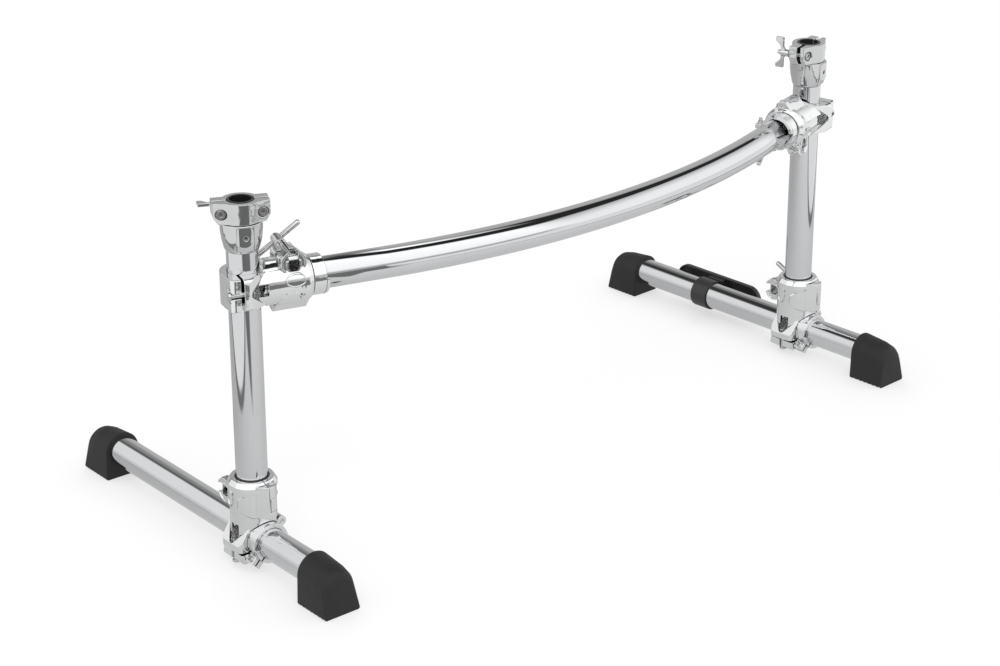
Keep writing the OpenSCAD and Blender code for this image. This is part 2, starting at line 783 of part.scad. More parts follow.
// Clip: a split band that snaps on the tube and carries a dished plate on its outer side
module tube_clip_shape() {
    difference() {
        union() {
            rod_y(tube_r + 0.3 + clip_wall, clip_back - clip_band_w / 2, clip_back + clip_band_w / 2);
            translate([tube_r - 2, clip_back - clip_band_w / 2, 0]) cube([8, clip_band_w, tube_r - 1]);
            translate([clip_plate_x, clip_back, 0]) rotate([90, 0, 90]) linear_extrude(height = clip_dish + 2)
                round_rect(-clip_len / 2, clip_len / 2, -clip_h / 2, clip_h / 2, clip_h / 2 - 0.5);
        }
        rod_y(tube_r + 0.1, clip_back - clip_len, clip_back + clip_len);
        translate([clip_plate_x - 1, clip_back, 0]) rotate([90, 0, 90]) linear_extrude(height = clip_dish + 1)
            difference() {
                round_rect(-clip_len / 2 + 2.5, clip_len / 2 - 2.5, -clip_h / 2 + 2.5, clip_h / 2 - 2.5,
                    clip_h / 2 - 3);
                square([clip_band_w, clip_h], center = true);
            }
        // the band is open below, on the side of the tube that faces the plate
        translate([0, clip_back, 0]) rotate([0, 35, 0]) translate([0, -clip_band_w, -9])
            cube([tube_r + 0.3 + clip_wall + 1, 2 * clip_band_w, 18]);
    }
}

module left_bar_clamp_body() { color("silver") at_left_bar() clamp_body(); }
module right_bar_clamp_body() { color("silver") at_right_bar() clamp_body(); }
module left_bar_clamp_gate() { color("lightgray") at_left_bar() clamp_gate(); }
module right_bar_clamp_gate() { color("lightgray") at_right_bar() clamp_gate(); }
module left_bar_clamp_jaw() { color("gainsboro") at_left_bar() clamp_jaw(); }
module right_bar_clamp_jaw() { color("gainsboro") at_right_bar() clamp_jaw(); }
module left_bar_liner() { color("dimgray") at_left_bar() clamp_liner(); }
module right_bar_liner() { color("dimgray") at_right_bar() clamp_liner(); }
module bar_clamp_pins() { color("darkgray") { at_left_bar() clamp_pins(); at_right_bar() clamp_pins(); } }
module bar_jaw_bolts() { color("darkgray") { at_left_bar() jaw_bolt(); at_right_bar() jaw_bolt(); } }
module left_bar_lock() { color("silver") at_left_bar() lock_ring(bar_lock_from, bar_lock_turn); }
module right_bar_lock() { color("silver") at_right_bar() lock_ring(bar_lock_from, bar_lock_turn); }
module bar_lock_screws() {
    color("darkgray") {
        at_left_bar() lock_screw(bar_lock_from, bar_lock_turn);
        at_right_bar() lock_screw(bar_lock_from, bar_lock_turn);
    }
}
module left_bar_swing_bolt() { color("darkgray") at_left_bar() swing_bolt(); }
module right_bar_swing_bolt() { color("darkgray") at_right_bar() swing_bolt(); }
module left_bar_t_handle() { color("silver") at_left_bar() t_handle(-t_turn); }
module right_bar_t_handle() { color("silver") at_right_bar() t_handle(-t_turn); }
module left_upright() { color("gainsboro") translate([-half_span, 0, 0]) upright(); }
module right_upright() { color("gainsboro") translate([half_span, 0, 0]) upright(); }
module left_receiver_body() { color("silver") at_left_receiver() receiver_body(); }
module right_receiver_body() { color("silver") at_right_receiver() receiver_body(); }
module left_receiver_jaw() { color("lightgray") at_left_receiver() receiver_jaw(left_gap); }
module right_receiver_jaw() { color("lightgray") at_right_receiver() receiver_jaw(right_gap); }
module left_receiver_bushing() { color("dimgray") at_left_receiver() receiver_bushing(); }
module right_receiver_bushing() { color("dimgray") at_right_receiver() receiver_bushing(); }
module left_receiver_bolts() { color("darkgray") at_left_receiver() receiver_bolts(); }
module right_receiver_bolts() { color("darkgray") at_right_receiver() receiver_bolts(); }
module left_wing_nut() { color("silver") at_left_receiver() wing_nut(0); }
module right_wing_nut() { color("silver") at_right_receiver() wing_nut(90); }
module left_set_screw() { color("darkgray") at_left_receiver() set_screw(); }
module right_set_screw() { color("darkgray") at_right_receiver() set_screw(); }
module left_leg_clamp_body() { color("silver") at_left_leg() clamp_body(); }
module right_leg_clamp_body() { color("silver") at_right_leg() clamp_body(); }
module left_leg_clamp_gate() { color("lightgray") at_left_leg() clamp_gate(); }
module right_leg_clamp_gate() { color("lightgray") at_right_leg() clamp_gate(); }
module left_leg_clamp_jaw() { color("gainsboro") at_left_leg() clamp_jaw(); }
module right_leg_clamp_jaw() { color("gainsboro") at_right_leg() clamp_jaw(); }
module left_leg_liner() { color("dimgray") at_left_leg() clamp_liner(); }
module right_leg_liner() { color("dimgray") at_right_leg() clamp_liner(); }
module left_leg_clamp_pins() { color("darkgray") at_left_leg() clamp_pins(); }
module right_leg_clamp_pins() { color("darkgray") at_right_leg() clamp_pins(); }
module left_leg_jaw_bolt() { color("darkgray") at_left_leg() jaw_bolt(); }
module right_leg_jaw_bolt() { color("darkgray") at_right_leg() jaw_bolt(); }
module left_leg_swing_bolt() { color("darkgray") at_left_leg() swing_bolt(); }
module right_leg_swing_bolt() { color("darkgray") at_right_leg() swing_bolt(); }
module left_leg_t_handle() { color("silver") at_left_leg() t_handle(-leg_t_turn); }
module right_leg_t_handle() { color("silver") at_right_leg() t_handle(-leg_t_turn); }
module left_base_tube() { color("gainsboro") at_left_base() base_tube(); }
module right_base_tube() { color("gainsboro") at_right_base() base_tube(); }
module left_front_foot() { color("#222222") at_left_base() front_foot(); }
module left_rear_foot() { color("#222222") at_left_base() rear_foot(); }
module right_front_foot() { color("#222222") at_right_base() front_foot(); }
module right_rear_foot() { color("#222222") at_right_base() rear_foot(); }
// The base locks sit in front of the leg clamps, so they are placed along the tube from its jaws
module at_left_base_lock() { at_left_base() rotate([0, 0, -90]) children(); }
module at_right_base_lock() { at_right_base() rotate([0, 0, -90]) children(); }
module left_base_lock() { color("silver") at_left_base_lock() lock_ring(base_lock_from, base_lock_turn); }
module right_base_lock() { color("silver") at_right_base_lock() lock_ring(base_lock_from, base_lock_turn); }
module left_lock_screw() { color("darkgray") at_left_base_lock() lock_screw(base_lock_from, base_lock_turn); }
module right_lock_screw() { color("darkgray") at_right_base_lock() lock_screw(base_lock_from, base_lock_turn); }
module tube_clip() { color("#2a2a2a") at_right_base() tube_clip_shape(); }

curved_tube();
left_bar_clamp_body();
right_bar_clamp_body();
left_bar_clamp_gate();
right_bar_clamp_gate();
left_bar_clamp_jaw();
right_bar_clamp_jaw();
left_bar_liner();
right_bar_liner();
bar_clamp_pins();
bar_jaw_bolts();
left_bar_lock();
right_bar_lock();
bar_lock_screws();
left_bar_swing_bolt();
right_bar_swing_bolt();
left_bar_t_handle();
right_bar_t_handle();
left_upright();
right_upright();
left_receiver_body();
right_receiver_body();
left_receiver_jaw();
right_receiver_jaw();
left_receiver_bushing();
right_receiver_bushing();
left_receiver_bolts();
right_receiver_bolts();
left_wing_nut();
right_wing_nut();
left_set_screw();
right_set_screw();
left_leg_clamp_body();
right_leg_clamp_body();
left_leg_clamp_gate();
right_leg_clamp_gate();
left_leg_clamp_jaw();
right_leg_clamp_jaw();
left_leg_liner();
right_leg_liner();
left_leg_clamp_pins();
right_leg_clamp_pins();
left_leg_jaw_bolt();
right_leg_jaw_bolt();
left_leg_swing_bolt();
right_leg_swing_bolt();
left_leg_t_handle();
right_leg_t_handle();
left_base_tube();
right_base_tube();
left_front_foot();
left_rear_foot();
right_front_foot();
right_rear_foot();
left_base_lock();
right_base_lock();
left_lock_screw();
right_lock_screw();
tube_clip();
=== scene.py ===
"""Looks of a free-standing drum rack frame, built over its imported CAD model.

Castings, fasteners, liners, handles and the clip are copies of their CAD solids with rolled
edges.  The tubes, the rubber feet and the blank badge rims are modelled here.  Lengths of the
frame's parts are in millimetres and become metres when a mesh is made; lengths of the studio
are in metres.
"""

import logging
import math
from dataclasses import dataclass, replace
from enum import Enum
from typing import Dict, List, Optional, Sequence, Tuple

import bmesh
import bpy
from mathutils import Matrix, Vector

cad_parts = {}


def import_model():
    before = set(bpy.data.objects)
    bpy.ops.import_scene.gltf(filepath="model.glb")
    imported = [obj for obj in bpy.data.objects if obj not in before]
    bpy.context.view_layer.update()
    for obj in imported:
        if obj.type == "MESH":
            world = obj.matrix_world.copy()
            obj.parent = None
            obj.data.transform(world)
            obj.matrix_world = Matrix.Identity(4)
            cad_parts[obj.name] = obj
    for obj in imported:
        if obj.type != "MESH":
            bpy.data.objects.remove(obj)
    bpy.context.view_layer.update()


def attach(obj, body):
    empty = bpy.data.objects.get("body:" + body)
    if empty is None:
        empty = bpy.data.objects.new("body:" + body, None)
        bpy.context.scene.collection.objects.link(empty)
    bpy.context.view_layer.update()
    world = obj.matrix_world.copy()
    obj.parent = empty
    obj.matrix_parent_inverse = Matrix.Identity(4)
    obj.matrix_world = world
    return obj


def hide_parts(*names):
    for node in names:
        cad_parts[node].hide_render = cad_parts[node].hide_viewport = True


LOG = logging.getLogger("drum_rack")
MM = 0.001
TAU = 2 * math.pi
WELD = 2e-6  # metres; vertices nearer than this are one


class Side(Enum):
    """The two halves of the frame."""

    LEFT = "left"
    RIGHT = "right"

    @property
    def sign(self) -> int:
        """-1 on the left, 1 on the right."""
        return -1 if self is Side.LEFT else 1


class Slot(Enum):
    """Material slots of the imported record."""

    CHROME = "chrome"
    STEEL = "fastener_steel"
    RUBBER = "foot_rubber"
    NYLON = "nylon"
    CLIP = "clip_plastic"


# ---- shader building blocks


class NodeSheet:
    """A short hand for placing and wiring nodes in one node tree."""

    def __init__(self, tree: bpy.types.NodeTree) -> None:
        """Keeps the tree that the nodes go into.

        Args:
            tree: an empty shader tree or group tree.
        """
        self.tree = tree

    def add(self, kind: str, settings: Optional[Dict[str, object]] = None,
            **inputs: object) -> bpy.types.Node:
        """Places one node, sets its properties, and sets or wires its inputs.

        Args:
            kind: the node's type name.
            settings: node properties by name.
            **inputs: input sockets by name with underscores for spaces, or i0, i1, ... by place;
                a value is set and a socket is wired.

        Returns:
            The new node.
        """
        node = self.tree.nodes.new(kind)
        for name, value in (settings or {}).items():
            setattr(node, name, value)
        for name, value in inputs.items():
            if name[0] == "i" and name[1:].isdigit():
                socket = node.inputs[int(name[1:])]
            else:
                socket = node.inputs[name.replace("_", " ")]
            if isinstance(value, bpy.types.NodeSocket):
                self.tree.links.new(value, socket)
            else:
                socket.default_value = value
        return node

    def math(self, operation: str, *values: object) -> bpy.types.NodeSocket:
        """Places a Math node.

        Args:
            operation: the node's operation.
            *values: its inputs in order, numbers or sockets.

        Returns:
            Its output socket.
        """
        made = self.add("ShaderNodeMath", {"operation": operation},
                        **{f"i{i}": v for i, v in enumerate(values)})
        return made.outputs[0]

    def mix(self, factor: object, first: object, second: object) -> bpy.types.NodeSocket:
        """Mixes two numbers.

        Args:
            factor: share of the second one.
            first: a number or socket.
            second: a number or socket.

        Returns:
            The mixed number's socket.
        """
        return self.add("ShaderNodeMix", {"data_type": "FLOAT"}, i0=factor, i2=first,
                        i3=second).outputs[0]

    def blend(self, factor: object, first: object, second: object) -> bpy.types.NodeSocket:
        """Mixes two colours.

        Args:
            factor: share of the second one.
            first: a colour or socket.
            second: a colour or socket.

        Returns:
            The mixed colour's socket.
        """
        node = self.add("ShaderNodeMix", {"data_type": "RGBA"})
        for place, value in ((0, factor), (6, first), (7, second)):
            if isinstance(value, bpy.types.NodeSocket):
                self.tree.links.new(value, node.inputs[place])
            else:
                node.inputs[place].default_value = value
        return node.outputs[2]


def new_group(name: str, floats: Dict[str, float], outputs: Sequence[str]) -> Tuple[
        bpy.types.NodeTree, NodeSheet, bpy.types.Node, bpy.types.Node]:
    """Starts a shader node group with a vector input, float inputs and float outputs.

    Args:
        name: the group's name.
        floats: float inputs with their defaults.
        outputs: names of the float outputs.

    Returns:
        The group, its sheet, its input node and its output node.
    """
    tree = bpy.data.node_groups.new(name, "ShaderNodeTree")
    tree.interface.new_socket("Vector", in_out="INPUT", socket_type="NodeSocketVector")
    for label, value in floats.items():
        socket = tree.interface.new_socket(label, in_out="INPUT", socket_type="NodeSocketFloat")
        socket.default_value = value
    for label in outputs:
        tree.interface.new_socket(label, in_out="OUTPUT", socket_type="NodeSocketFloat")
    sheet = NodeSheet(tree)
    return tree, sheet, sheet.add("NodeGroupInput"), sheet.add("NodeGroupOutput")


def handling_group() -> bpy.types.NodeTree:
    """Group of faint wipe marks and smudges, shared by all finishes.

    Returns:
        A group with the output Marks from 0 to 1.
    """
    name = "handling_marks"
    if name in bpy.data.node_groups:
        return bpy.data.node_groups[name]
    tree, sheet, given, out = new_group(
        name, {"Scale": 40.0, "Stretch": 6.0, "Patch": 6.0}, ["Marks"])
    along = sheet.add("ShaderNodeCombineXYZ", None, X=given.outputs["Scale"],
                      Y=given.outputs["Scale"],
                      Z=sheet.math("DIVIDE", given.outputs["Scale"], given.outputs["Stretch"]))
    place = sheet.add("ShaderNodeVectorMath", {"operation": "MULTIPLY"},
                      i0=given.outputs["Vector"], i1=along.outputs[0])
    fine = sheet.add("ShaderNodeTexNoise", None, Vector=place.outputs[0], Scale=14.0, Detail=4.0,
                     Roughness=0.65)
    broad = sheet.add("ShaderNodeTexNoise", None, Vector=given.outputs["Vector"],
                      Scale=given.outputs["Patch"], Detail=3.0, Roughness=0.55)
    lines = sheet.add("ShaderNodeMapRange", None, Value=fine.outputs[0], From_Min=0.48,
                      From_Max=0.72)
    patch = sheet.add("ShaderNodeMapRange", None, Value=broad.outputs[0], From_Min=0.38,
                      From_Max=0.68)
    marks = sheet.math("ADD", sheet.math("MULTIPLY", lines.outputs[0], 0.45),
                       sheet.math("MULTIPLY", patch.outputs[0], 0.55))
    tree.links.new(marks, out.inputs["Marks"])
    return tree


def skin_group() -> bpy.types.NodeTree:
    """Group of the height of a surface: soft waves, grain and pits.

    Returns:
        A group with the output Height.
    """
    name = "surface_skin"
    if name in bpy.data.node_groups:
        return bpy.data.node_groups[name]
    tree, sheet, given, out = new_group(
        name, {"Wave": 60.0, "Wave Depth": 1.0, "Grain": 900.0, "Grain Depth": 0.2,
               "Pit Depth": 0.0}, ["Height"])
    wave = sheet.add("ShaderNodeTexNoise", None, Vector=given.outputs["Vector"],
                     Scale=given.outputs["Wave"], Detail=1.0, Roughness=0.4)
    grain = sheet.add("ShaderNodeTexNoise", None, Vector=given.outputs["Vector"],
                      Scale=given.outputs["Grain"], Detail=3.0, Roughness=0.6)
    cells = sheet.add("ShaderNodeTexVoronoi", {"feature": "F1"}, Vector=given.outputs["Vector"],
                      Scale=sheet.math("MULTIPLY", given.outputs["Grain"], 0.8))
    pits = sheet.add("ShaderNodeMapRange", None, Value=cells.outputs["Distance"], From_Min=0.0,
                     From_Max=0.35)
    total = sheet.math("MULTIPLY", wave.outputs[0], given.outputs["Wave Depth"])
    total = sheet.math("ADD", total,
                       sheet.math("MULTIPLY", grain.outputs[0], given.outputs["Grain Depth"]))
    total = sheet.math("ADD", total,
                       sheet.math("MULTIPLY", pits.outputs[0], given.outputs["Pit Depth"]))
    tree.links.new(total, out.inputs["Height"])
    return tree


# Painted shade in the deep corners of a metal: the colour they are darkened to, how far in mm they
# look for a neighbour, with how many rays, and between which shares of open sky it sets in and is
# whole.
PAINTED_SHADE = (0.012, 0.012, 0.013, 1.0)
PAINTED_SHADE_REACH = 4.0
PAINTED_SHADE_RAYS = 8
PAINTED_SHADE_STARTS, PAINTED_SHADE_WHOLE = 0.88, 0.35


@dataclass(frozen=True)
class Finish:
    """One finish: its colours, its gloss and the scale of what is on it.

    The dust colour shows where smudges lie, and wave and grain are in cycles per metre. The last
    field is the share of painted shade by which deep corners are darkened in the colour.
    """

    name: str
    slot: Slot
    colour: Tuple[float, float, float]
    dust: Tuple[float, float, float]
    dust_share: float
    metallic: float
    rough_low: float
    rough_high: float
    marks_scale: float
    stretch: float
    patch: float
    wave: float
    wave_depth: float
    grain: float
    grain_depth: float
    pit_depth: float
    bump: float
    coat: float = 0.0
    specular: float = 0.5
    # painted shade: share by which deep corners are darkened in the colour
    painted_shade: float = 0.0

    def material(self) -> bpy.types.Material:
        """Builds the material once.

        Returns:
            The material of this finish.
        """
        made = bpy.data.materials.get(self.name)
        if made is not None:
            return made
        made = bpy.data.materials.new(self.name)
        made.use_nodes = True
        tree = made.node_tree
        tree.nodes.clear()
        sheet = NodeSheet(tree)
        where = sheet.add("ShaderNodeTexCoord").outputs["Object"]
        marks = sheet.add("ShaderNodeGroup", {"node_tree": handling_group()}, Vector=where,
                          Scale=self.marks_scale, Stretch=self.stretch, Patch=self.patch)
        skin = sheet.add("ShaderNodeGroup", {"node_tree": skin_group()}, Vector=where,
                         Wave=self.wave, Wave_Depth=self.wave_depth, Grain=self.grain,
                         Grain_Depth=self.grain_depth, Pit_Depth=self.pit_depth)
        share = sheet.math("MULTIPLY", marks.outputs["Marks"], self.dust_share)
        colour = sheet.blend(share, (*self.colour, 1.0), (*self.dust, 1.0))
        # painted shade: deep corners are darkened towards a near-black colour, read from ambient
        # occlusion
        if self.painted_shade:
            open_sky = sheet.add("ShaderNodeAmbientOcclusion",
                                 {"samples": PAINTED_SHADE_RAYS, "only_local": True},
                                 Distance=PAINTED_SHADE_REACH * MM)
            closed = sheet.add("ShaderNodeMapRange", None, Value=open_sky.outputs["AO"],
                               From_Min=PAINTED_SHADE_STARTS, From_Max=PAINTED_SHADE_WHOLE, To_Max=self.painted_shade)
            colour = sheet.blend(closed.outputs[0], colour, PAINTED_SHADE)
        rough = sheet.add("ShaderNodeMapRange", None, Value=marks.outputs["Marks"],
                          To_Min=self.rough_low, To_Max=self.rough_high)
        bump = sheet.add("ShaderNodeBump", None, Strength=self.bump, Distance=0.001,
                         Height=skin.outputs["Height"])
        shader = sheet.add("ShaderNodeBsdfPrincipled", None, Base_Color=colour,
                           Roughness=rough.outputs[0], Metallic=self.metallic,
                           Normal=bump.outputs[0])
        shader.inputs["Coat Weight"].default_value = self.coat
        shader.inputs["Specular IOR Level"].default_value = self.specular
        output = sheet.add("ShaderNodeOutputMaterial")
        tree.links.new(shader.outputs[0], output.inputs["Surface"])
        return made


TUBE_CHROME = Finish(
    name="tube_chrome", slot=Slot.CHROME, colour=(0.63, 0.635, 0.645), dust=(0.55, 0.555, 0.56),
    dust_share=0.5, metallic=1.0, rough_low=0.035, rough_high=0.075, marks_scale=30.0, stretch=8.0,
    patch=9.0, wave=28.0, wave_depth=0.5, grain=1500.0, grain_depth=0.03, pit_depth=0.0, bump=0.05)
# cast chrome, the receivers' chrome, bright hardware and zinc fasteners have painted shade in
# their deep corners
CAST_CHROME = Finish(
    name="cast_chrome", slot=Slot.CHROME, colour=(0.73, 0.735, 0.74), dust=(0.62, 0.62, 0.625),
    dust_share=0.5, metallic=1.0, rough_low=0.045, rough_high=0.11, marks_scale=45.0, stretch=2.0,
    patch=22.0, wave=110.0, wave_depth=1.0, grain=1300.0, grain_depth=0.05, pit_depth=0.0,
    bump=0.24, painted_shade=0.9)
# receivers' chrome: a darker copy of the cast chrome; its lower colour is painted shade, standing
# in for the dark reflections on the receivers
SHADED_HEAD_CHROME = replace(
    CAST_CHROME, name="receiver_chrome_painted_shade", colour=(0.58, 0.585, 0.59), dust=(0.48, 0.48, 0.485),
    bump=0.20)
DARK_CHROME = Finish(
    name="bright_hardware", slot=Slot.CHROME, colour=(0.60, 0.60, 0.61), dust=(0.48, 0.48, 0.48),
    dust_share=0.5, metallic=1.0, rough_low=0.06, rough_high=0.14, marks_scale=60.0, stretch=3.0,
    patch=30.0, wave=120.0, wave_depth=0.8, grain=1500.0, grain_depth=0.05, pit_depth=0.0,
    bump=0.10, painted_shade=0.9)
BOLT_STEEL = Finish(
    name="zinc_fastener", slot=Slot.STEEL, colour=(0.62, 0.625, 0.63), dust=(0.42, 0.41, 0.40),
    dust_share=0.5, metallic=1.0, rough_low=0.12, rough_high=0.24, marks_scale=120.0, stretch=1.0,
    patch=60.0, wave=200.0, wave_depth=0.5, grain=2600.0, grain_depth=0.25, pit_depth=0.1,
    bump=0.25, painted_shade=0.8)
FOOT_RUBBER = Finish(
    name="moulded_rubber", slot=Slot.RUBBER, colour=(0.015, 0.015, 0.016),
    dust=(0.036, 0.035, 0.033), dust_share=0.45, metallic=0.0, rough_low=0.50, rough_high=0.68,
    marks_scale=50.0, stretch=1.5, patch=16.0, wave=70.0, wave_depth=0.5, grain=1700.0,
    grain_depth=0.45, pit_depth=0.35, bump=0.45, specular=0.32)
SOCKET_NYLON = Finish(
    name="black_nylon", slot=Slot.NYLON, colour=(0.014, 0.014, 0.015), dust=(0.035, 0.035, 0.035),
    dust_share=0.4, metallic=0.0, rough_low=0.34, rough_high=0.5, marks_scale=70.0, stretch=2.0,
    patch=30.0, wave=100.0, wave_depth=0.4, grain=1400.0, grain_depth=0.2, pit_depth=0.0, bump=0.2)
CLIP_PLASTIC = Finish(
    name="clip_plastic_black", slot=Slot.CLIP, colour=(0.020, 0.020, 0.021),
    dust=(0.045, 0.044, 0.043), dust_share=0.4, metallic=0.0, rough_low=0.36, rough_high=0.52,
    marks_scale=60.0, stretch=2.0, patch=20.0, wave=80.0, wave_depth=0.4, grain=2100.0,
    grain_depth=0.30, pit_depth=0.25, bump=0.3)


# ---- mesh helpers


def finish_piece(name: str, bm: bmesh.types.BMesh, finish: Finish, body: str,
                 replaces: Sequence[str] = (), smooth: float = 35.0,
                 wall: float = 0.0) -> bpy.types.Object:
    """Turns a bmesh into a finished piece that rides on a body.

    Args:
        name: the piece's name.
        bm: the mesh, in metres in the shared frame; it is freed.
        finish: what it is finished in.
        body: the CAD body that carries it.
        replaces: CAD nodes that it stands for.
        smooth: edges sharper than this many degrees stay sharp.
        wall: thickness in mm given inwards, or 0 for a closed shape.

    Returns:
        The new object.
    """
    for face in bm.faces:
        face.smooth = True
    limit = math.radians(smooth)
    for edge in bm.edges:
        if len(edge.link_faces) == 2 and edge.calc_face_angle(0.0) > limit:
            edge.smooth = False
    mesh = bpy.data.meshes.new(name)
    bm.to_mesh(mesh)
    bm.free()
    piece = bpy.data.objects.new(name, mesh)
    bpy.context.scene.collection.objects.link(piece)
    mesh.materials.append(finish.material())
    if wall:
        solid = piece.modifiers.new("wall", "SOLIDIFY")
        solid.thickness = wall * MM
        solid.offset = -1.0
    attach(piece, body)
    if replaces:
        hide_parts(*replaces)
    LOG.info("%s on %s: %d faces", name, body, len(mesh.polygons))
    return piece


def lathe(bm: bmesh.types.BMesh, outline: Sequence[Tuple[float, float]], steps: int = 48) -> None:
    """Spins an outline of (radius, height) in mm about Z into a closed shape.

    Args:
        bm: the bmesh it is added to.
        outline: points from one pole or rim to the other.
        steps: how many segments the turn has.
    """
    verts = [bm.verts.new((r * MM, 0.0, z * MM)) for r, z in outline]
    edges = [bm.edges.new(pair) for pair in zip(verts, verts[1:])]
    bmesh.ops.spin(bm, geom=verts + edges, cent=(0, 0, 0), axis=(0, 0, 1), angle=TAU, steps=steps,
                   use_merge=True)
    bmesh.ops.remove_doubles(bm, verts=bm.verts, dist=1e-7)
    bmesh.ops.recalc_face_normals(bm, faces=bm.faces)


SHORTEST_ROLLED = 0.05  # mm; shorter edges are left sharp
FLAT_WITHIN = 0.6  # degrees; faces that differ by less become one


@dataclass
class CadSolid:
    """A CAD solid that is shown as a copy with rolled edges.

    Roll is how far an edge is rolled, in mm, and crease the angle in degrees from which it is.
    """

    node: str
    body: str
    finish: Finish
    roll: float = 0.45
    segments: int = 2
    crease: float = 32.0

    def build(self) -> bpy.types.Object:
        """Copies the node's mesh, welds it, rolls its edges and puts it in the node's place.

        Returns:
            The piece that stands for the node.
        """
        source = bpy.data.objects[self.node]
        bm = bmesh.new()
        bm.from_mesh(source.data)
        bmesh.ops.remove_doubles(bm, verts=bm.verts, dist=WELD)
        bmesh.ops.dissolve_degenerate(bm, edges=bm.edges, dist=1e-6)
        bmesh.ops.dissolve_limit(bm, angle_limit=math.radians(FLAT_WITHIN), verts=bm.verts,
                                 edges=bm.edges, use_dissolve_boundaries=False, delimit=set())
        limit = math.radians(self.crease)
        sharp = [e for e in bm.edges
                 if len(e.link_faces) == 2 and e.calc_face_angle(0.0) > limit
                 and e.calc_length() > SHORTEST_ROLLED * MM]
        if self.roll and sharp:
            bmesh.ops.bevel(bm, geom=sharp, offset=self.roll * MM, offset_type="OFFSET",
                            affect="EDGES", segments=self.segments, profile=0.5, material=-1,
                            clamp_overlap=False, miter_outer="SHARP", miter_inner="SHARP",
                            loop_slide=True)
            bmesh.ops.remove_doubles(bm, verts=bm.verts, dist=WELD)
        piece = finish_piece(f"{self.node}_dressed", bm, self.finish, self.body, [self.node],
                             smooth=50.0)
        even = piece.modifiers.new("even_normals", "WEIGHTED_NORMAL")
        even.keep_sharp = True
        even.weight = 60
        return piece


# ---- places of the sub-assemblies


@dataclass(frozen=True)
class RackPlan:
    """The frame's own sizes as in the part's source: lengths in mm and angles in degrees."""

    half_span: float = 483.0
    upright_y: float = -88.5
    bar_height: float = 354.6
    bar_angle: float = 17.0
    bar_straight: float = 173.0
    base_height: float = 36.4
    base_toe: float = 1.7
    front_reach: float = 175.6
    rear_reach: float = 352.6
    tube_r: float = 19.05
    tube_wall: float = 2.0
    tube_seat: float = 28.5
    neck_z: float = 400.0

    def bar_frame(self, side: Side) -> Matrix:
        """Frame of a bar clamp: X along its socket, Z along the upright."""
        turn = Matrix.Rotation(math.radians(self.bar_angle * side.sign), 4, "Z")
        if side is Side.RIGHT:
            turn = turn @ Matrix.Rotation(math.pi, 4, "Y")
        return self._at(side, self.bar_height) @ turn

    def base_frame(self, side: Side) -> Matrix:
        """Frame of a base tube: Y along the tube, to the back."""
        return self._at(side, self.base_height) @ Matrix.Rotation(
            math.radians(self.base_toe * side.sign), 4, "Z")

    def leg_frame(self, side: Side) -> Matrix:
        """Frame of a leg clamp: X up along its socket, Z along the base tube."""
        return self.base_frame(side) @ Matrix.Rotation(-math.pi / 2, 4, "Y") @ Matrix.Rotation(
            -math.pi / 2, 4, "X")

    def _at(self, side: Side, height: float) -> Matrix:
        """Place on an upright's axis at a height."""
        return Matrix.Translation((side.sign * self.half_span * MM, self.upright_y * MM,
                                   height * MM))


PLAN = RackPlan()
TUBE_CHAMFER = 0.35  # mm, at the cut ends
Section = Tuple[float, float, float, float]


def tube_mesh(frame: Matrix, start: float, end: float, radius: float, wall: float,
              steps: int = 96) -> bmesh.types.BMesh:
    """Straight tube along a frame's Z with small chamfers at its cut ends.

    Args:
        frame: where the tube is.
        start: lower end in mm.
        end: upper end in mm.
        radius: outer radius in mm.
        wall: wall in mm.
        steps: segments round the tube.

    Returns:
        The closed mesh.
    """
    bm = bmesh.new()
    c, inner = TUBE_CHAMFER, radius - wall
    lathe(bm, [(inner, start + c), (inner + c, start), (radius - c, start), (radius, start + c),
               (radius, end - c), (radius - c, end), (inner + c, end), (inner, end - c),
               (inner, start + c)], steps)
    bmesh.ops.transform(bm, matrix=frame, verts=bm.verts)
    return bm


@dataclass
class CrossTube:
    """The bowed cross tube: a bend between two straight ends, chromed in one piece."""

    steps: int = 96
    rings: int = 72

    def build(self) -> None:
        """Spins a ring about the bend's centre and draws out its straight ends."""
        angle = math.radians(PLAN.bar_angle)
        radius = (PLAN.half_span - PLAN.bar_straight * math.cos(angle)) / math.sin(angle)
        centre = Vector((0.0, (PLAN.upright_y - PLAN.bar_straight * math.sin(angle)
                               + radius * math.cos(angle)) * MM, PLAN.bar_height * MM))
        bm = bmesh.new()
        ring = bmesh.ops.create_circle(bm, cap_ends=False, segments=self.steps,
                                       radius=PLAN.tube_r * MM)["verts"]
        stand = (Matrix.Translation(centre)
                 @ Matrix.Rotation(-angle, 4, "Z")
                 @ Matrix.Translation((0.0, -radius * MM, 0.0))
                 @ Matrix.Rotation(math.pi / 2, 4, "Y"))
        bmesh.ops.transform(bm, matrix=stand, verts=ring)
        first = list(bm.edges)
        done = bmesh.ops.spin(bm, geom=list(ring) + first, cent=centre, axis=(0, 0, 1),
                              angle=2 * angle, steps=self.rings, use_merge=False)
        last = [e for e in done["geom_last"] if isinstance(e, bmesh.types.BMEdge)]
        length = (PLAN.bar_straight - PLAN.tube_seat) * MM
        for edges, turn in ((first, -1), (last, 1)):
            drawn = bmesh.ops.extrude_edge_only(bm, edges=edges)["geom"]
            moved = [v for v in drawn if isinstance(v, bmesh.types.BMVert)]
            way = Vector((turn * math.cos(angle), math.sin(angle), 0.0)) * length
            bmesh.ops.translate(bm, vec=way, verts=moved)
        bmesh.ops.recalc_face_normals(bm, faces=bm.faces)
        finish_piece("cross_tube", bm, TUBE_CHROME, "crossbar", ["curved_tube"],
                     wall=PLAN.tube_wall)


@dataclass
class Upright:
    """One upright tube."""

    side: Side

    def build(self) -> None:
        """Builds the tube from the leg clamp's seat up to the receiver."""
        name = self.side.value
        low = PLAN.base_height + PLAN.tube_seat
        frame = Matrix.Translation((self.side.sign * PLAN.half_span * MM, PLAN.upright_y * MM, 0))
        finish_piece(f"{name}_upright_tube", tube_mesh(frame, low, PLAN.neck_z, PLAN.tube_r,
                                                       PLAN.tube_wall),
                     TUBE_CHROME, f"{name}_upright_post", [f"{name}_upright"])


